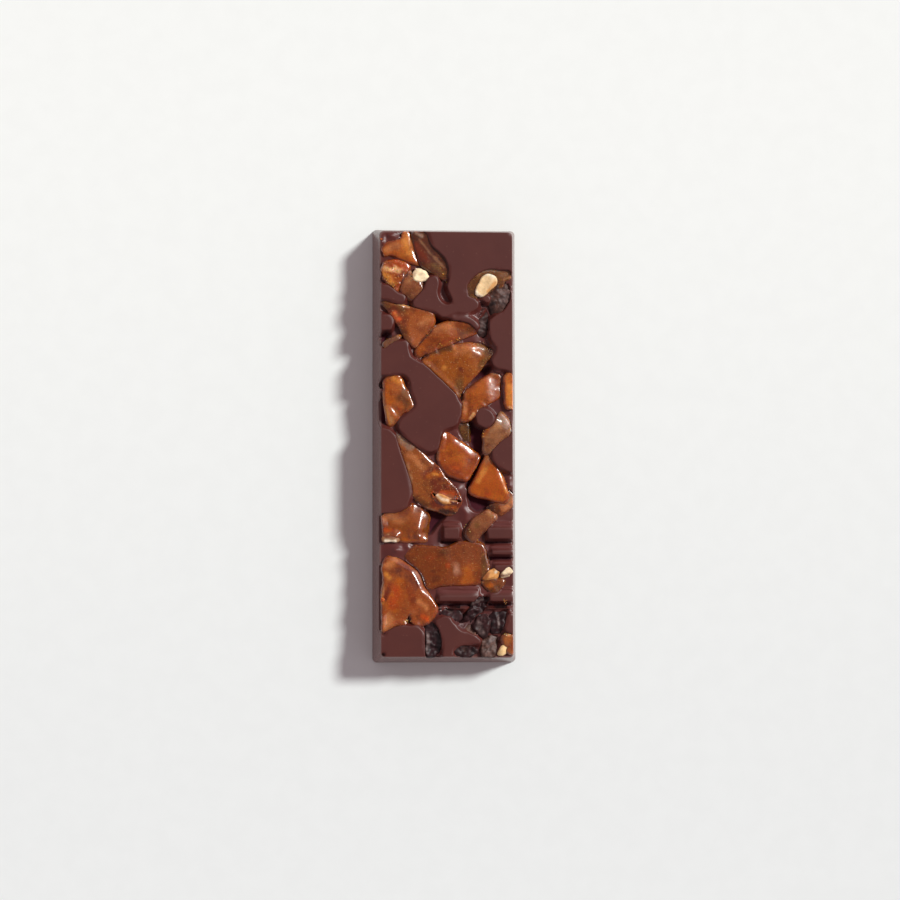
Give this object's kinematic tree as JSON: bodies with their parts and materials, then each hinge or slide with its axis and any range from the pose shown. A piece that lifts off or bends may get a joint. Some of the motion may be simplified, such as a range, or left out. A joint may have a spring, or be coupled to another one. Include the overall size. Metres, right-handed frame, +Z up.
{
  "type": "chocolate bar with toffee shards",
  "caption": "Slim dark chocolate bar lying mould side up, with toffee shards, almond pieces and dark dried fruit set flush in its ribbed top face.",
  "frame": {"origin": "centre of the flat underside, which is also the bottom centre of the bounding box", "axes": "+Z up through the bar's thickness, +Y along the bar, towards the end with the largest plain chocolate area, +X across it"},
  "size_m": [0.039, 0.118, 0.011],
  "materials": {
    "chocolate": "dark chocolate, satin where it touched the mould and glossy where it set freely",
    "toffee_amber": "glossy translucent amber toffee",
    "toffee_copper": "glossy red-orange crumbly toffee",
    "toffee_umber": "glossy brown toffee under a thin film of chocolate",
    "toffee_olive": "glossy grey-brown toffee",
    "almond": "matt chopped almond",
    "fruit": "wrinkled dark dried fruit with a soft sheen",
    "fruit_grey": "wrinkled grey-brown dried fruit"
  },
  "bodies": {
    "root": {"chocolate": "chocolate", "almond_1": "almond", "almond_2": "almond", "almond_3": "almond", "almond_4": "almond", "almond_5": "almond", "almond_6": "almond", "almond_7": "almond", "toffee_01": "toffee_amber", "toffee_02": "toffee_copper", "toffee_03": "toffee_umber", "toffee_04": "toffee_umber", "toffee_05": "toffee_olive", "toffee_06": "toffee_umber", "toffee_07": "toffee_umber", "toffee_08": "toffee_amber", "toffee_09": "toffee_amber", "toffee_10": "toffee_amber", "toffee_11": "toffee_amber", "toffee_12": "toffee_amber", "toffee_13": "toffee_umber", "toffee_14": "toffee_olive", "toffee_15": "toffee_amber", "toffee_16": "toffee_amber", "toffee_17": "toffee_amber", "toffee_18": "toffee_umber", "toffee_19": "toffee_umber", "toffee_20": "toffee_amber", "toffee_21": "toffee_amber", "toffee_22": "toffee_umber", "toffee_23": "toffee_umber", "toffee_24": "toffee_amber", "fruit_01": "fruit", "fruit_02": "fruit", "fruit_03": "fruit", "fruit_04": "fruit", "fruit_05": "fruit", "fruit_06": "fruit", "fruit_07": "fruit", "fruit_08": "fruit_grey", "fruit_09": "fruit", "fruit_10": "fruit_grey"}
  },
  "joints": []
}
